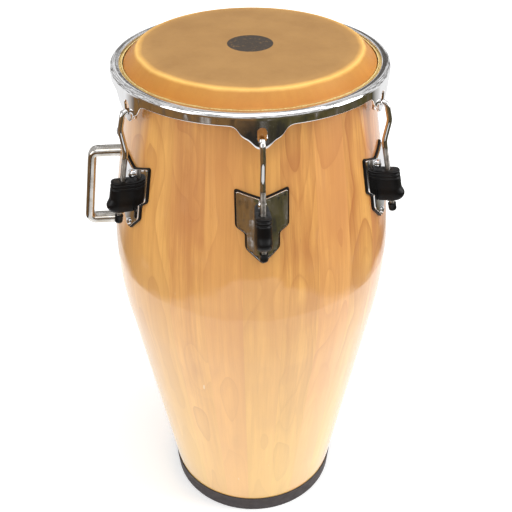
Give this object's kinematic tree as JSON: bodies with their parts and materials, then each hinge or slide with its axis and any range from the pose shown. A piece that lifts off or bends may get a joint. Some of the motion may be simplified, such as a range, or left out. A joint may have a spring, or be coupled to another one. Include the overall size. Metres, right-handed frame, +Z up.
{
  "type": "conga",
  "caption": "Staved wooden conga: skin head drawn down by a chrome rim and hooked rods in rubber-covered lugs, with a carrying handle and a rubber foot ring.",
  "frame": {"origin": "middle of the part's box on the floor it stands on; the drum's own axis is at x = 0.0201, y = 0", "axes": "+Z up along the drum's axis, -Y through one lug, -X towards the carrying handle"},
  "size_m": [0.4361, 0.444, 0.762],
  "materials": {
    "stave_wood": "natural wood under clear gloss lacquer",
    "skin": "tanned skin, matt on top, waxy on the collar",
    "chrome": "mirror plated",
    "hoop_steel": "plain wire, hidden by the skin",
    "screw_steel": "zinc plated",
    "ring_rubber": "dull charcoal",
    "gasket_rubber": "black, satin",
    "cover_rubber": "moulded black, satin",
    "cap_rubber": "black, satin"
  },
  "bodies": {
    "drum": {"shell": "stave_wood", "bottom_ring": "ring_rubber", "head_skin": "skin", "handle": "chrome", "handle_screw_top": "screw_steel", "handle_screw_bottom": "screw_steel", "plate_gasket_1": "gasket_rubber", "side_plate_1": "chrome", "lug_cover_1": "cover_rubber", "plate_bolt_1": "chrome", "plate_screw_1": "chrome", "plate_gasket_2": "gasket_rubber", "side_plate_2": "chrome", "lug_cover_2": "cover_rubber", "plate_bolt_2": "chrome", "plate_screw_2": "chrome", "plate_gasket_3": "gasket_rubber", "side_plate_3": "chrome", "lug_cover_3": "cover_rubber", "plate_bolt_3": "chrome", "plate_screw_3": "chrome", "plate_gasket_4": "gasket_rubber", "side_plate_4": "chrome", "lug_cover_4": "cover_rubber", "plate_bolt_4": "chrome", "plate_screw_4": "chrome", "plate_gasket_5": "gasket_rubber", "side_plate_5": "chrome", "lug_cover_5": "cover_rubber", "plate_bolt_5": "chrome", "plate_screw_5": "chrome", "plate_gasket_6": "gasket_rubber", "side_plate_6": "chrome", "lug_cover_6": "cover_rubber", "plate_bolt_6": "chrome", "plate_screw_6": "chrome"},
    "rim_and_hoop": {"rim": "chrome", "flesh_hoop": "hoop_steel", "head_skin_tuck": "skin"},
    "rod_1": {"tension_rod_1": "chrome", "rod_end_cap_1": "cap_rubber"},
    "rod_2": {"tension_rod_2": "chrome", "rod_end_cap_2": "cap_rubber"},
    "rod_3": {"tension_rod_3": "chrome", "rod_end_cap_3": "cap_rubber"},
    "rod_4": {"tension_rod_4": "chrome", "rod_end_cap_4": "cap_rubber"},
    "rod_5": {"tension_rod_5": "chrome", "rod_end_cap_5": "cap_rubber"},
    "rod_6": {"tension_rod_6": "chrome", "rod_end_cap_6": "cap_rubber"},
    "nut_1": {"tuning_nut_1": "chrome"},
    "nut_2": {"tuning_nut_2": "chrome"},
    "nut_3": {"tuning_nut_3": "chrome"},
    "nut_4": {"tuning_nut_4": "chrome"},
    "nut_5": {"tuning_nut_5": "chrome"},
    "nut_6": {"tuning_nut_6": "chrome"}
  },
  "joints": [
    {"name": "nut_turn_1", "type": "hinge", "parent": "drum", "child": "nut_1", "pos_m": [0.02013, -0.20384, 0.59075], "axis": [0, 0.2079, 0.9781], "range_deg": [-902, 1803]},
    {"name": "rod_draw_1", "type": "slide", "parent": "drum", "child": "rod_1", "axis": [0, -0.2079, -0.9781], "range_m": [-0.00313, 0.00626]},
    {"name": "nut_turn_2", "type": "hinge", "parent": "drum", "child": "nut_2", "pos_m": [0.19666, -0.10192, 0.59075], "axis": [-0.1801, 0.104, 0.9781], "range_deg": [-902, 1803]},
    {"name": "rod_draw_2", "type": "slide", "parent": "drum", "child": "rod_2", "axis": [0.1801, -0.104, -0.9781], "range_m": [-0.00313, 0.00626]},
    {"name": "nut_turn_3", "type": "hinge", "parent": "drum", "child": "nut_3", "pos_m": [0.19666, 0.10192, 0.59075], "axis": [-0.1801, -0.104, 0.9781], "range_deg": [-902, 1803]},
    {"name": "rod_draw_3", "type": "slide", "parent": "drum", "child": "rod_3", "axis": [0.1801, 0.104, -0.9781], "range_m": [-0.00313, 0.00626]},
    {"name": "nut_turn_4", "type": "hinge", "parent": "drum", "child": "nut_4", "pos_m": [0.02013, 0.20384, 0.59075], "axis": [0, -0.2079, 0.9781], "range_deg": [-902, 1803]},
    {"name": "rod_draw_4", "type": "slide", "parent": "drum", "child": "rod_4", "axis": [0, 0.2079, -0.9781], "range_m": [-0.00313, 0.00626]},
    {"name": "nut_turn_5", "type": "hinge", "parent": "drum", "child": "nut_5", "pos_m": [-0.15641, 0.10192, 0.59075], "axis": [0.1801, -0.104, 0.9781], "range_deg": [-902, 1803]},
    {"name": "rod_draw_5", "type": "slide", "parent": "drum", "child": "rod_5", "axis": [-0.1801, 0.104, -0.9781], "range_m": [-0.00313, 0.00626]},
    {"name": "nut_turn_6", "type": "hinge", "parent": "drum", "child": "nut_6", "pos_m": [-0.15641, -0.10192, 0.59075], "axis": [0.1801, 0.104, 0.9781], "range_deg": [-902, 1803]},
    {"name": "rod_draw_6", "type": "slide", "parent": "drum", "child": "rod_6", "axis": [-0.1801, -0.104, -0.9781], "range_m": [-0.00313, 0.00626]},
    {"name": "rim_draw", "type": "slide", "parent": "drum", "child": "rim_and_hoop", "axis": [0, 0, -1], "range_m": [-0.00306, 0.00612]}
  ],
  "couplings": [
    {"joint": "nut_turn_1", "follows": "rim_draw", "rad_per_m": 5138.8},
    {"joint": "rod_draw_1", "follows": "rim_draw", "ratio": 1.0223},
    {"joint": "nut_turn_2", "follows": "rim_draw", "rad_per_m": 5138.8},
    {"joint": "rod_draw_2", "follows": "rim_draw", "ratio": 1.0223},
    {"joint": "nut_turn_3", "follows": "rim_draw", "rad_per_m": 5138.8},
    {"joint": "rod_draw_3", "follows": "rim_draw", "ratio": 1.0223},
    {"joint": "nut_turn_4", "follows": "rim_draw", "rad_per_m": 5138.8},
    {"joint": "rod_draw_4", "follows": "rim_draw", "ratio": 1.0223},
    {"joint": "nut_turn_5", "follows": "rim_draw", "rad_per_m": 5138.8},
    {"joint": "rod_draw_5", "follows": "rim_draw", "ratio": 1.0223},
    {"joint": "nut_turn_6", "follows": "rim_draw", "rad_per_m": 5138.8},
    {"joint": "rod_draw_6", "follows": "rim_draw", "ratio": 1.0223}
  ]
}
